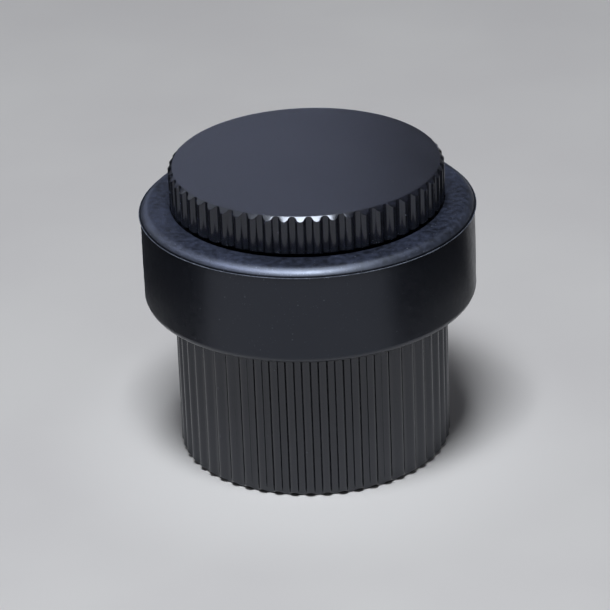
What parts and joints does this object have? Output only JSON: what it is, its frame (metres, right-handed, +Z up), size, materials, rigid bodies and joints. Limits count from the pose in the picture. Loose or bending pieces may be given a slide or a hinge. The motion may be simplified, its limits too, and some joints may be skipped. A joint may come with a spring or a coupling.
{
  "type": "floor door stop",
  "caption": "Floor door stop: reeded round metal base with a rubber buffer ring on a neck, and a reeded screw-on cap that hides the floor screw.",
  "frame": {"origin": "on the floor, on the stop's axis, which is also the middle of the wall plug's top face", "axes": "+Z straight up out of the floor along the stop's axis; +X towards the locating pin under the base"},
  "size_m": [0.0442, 0.0442, 0.083],
  "materials": {
    "base_metal": "satin",
    "cap_metal": "satin",
    "ring_rubber": "matte",
    "pad_rubber": "matte",
    "sleeve_steel": "satin",
    "steel": "satin",
    "washer_nylon": "satin",
    "plug_nylon": "matte"
  },
  "bodies": {
    "base_body": {"base": "base_metal", "foot_pad": "pad_rubber", "locating_pin": "steel", "wall_plug": "plug_nylon", "floor_screw": "steel", "screw_washer": "steel", "neck_sleeve": "sleeve_steel"},
    "ring_body": {"buffer_ring": "ring_rubber"},
    "washer_body": {"slip_washer": "washer_nylon"},
    "cap_body": {"cap": "cap_metal", "cap_stud": "steel"}
  },
  "joints": [
    {"name": "ring_spin", "type": "hinge", "parent": "base_body", "child": "ring_body", "pos_m": [0, 0, 0.028], "axis": [0, 0, 1], "continuous": true},
    {"name": "cap_lift", "type": "slide", "parent": "base_body", "child": "washer_body", "axis": [0, 0, 1], "range_m": [0, 0.012]},
    {"name": "cap_turn", "type": "hinge", "parent": "washer_body", "child": "cap_body", "pos_m": [0, 0, 0.0348], "axis": [0, 0, 1], "range_deg": [0, 2880]}
  ],
  "couplings": [
    {"joint": "cap_turn", "follows": "cap_lift", "rad_per_m": 4188.8}
  ]
}
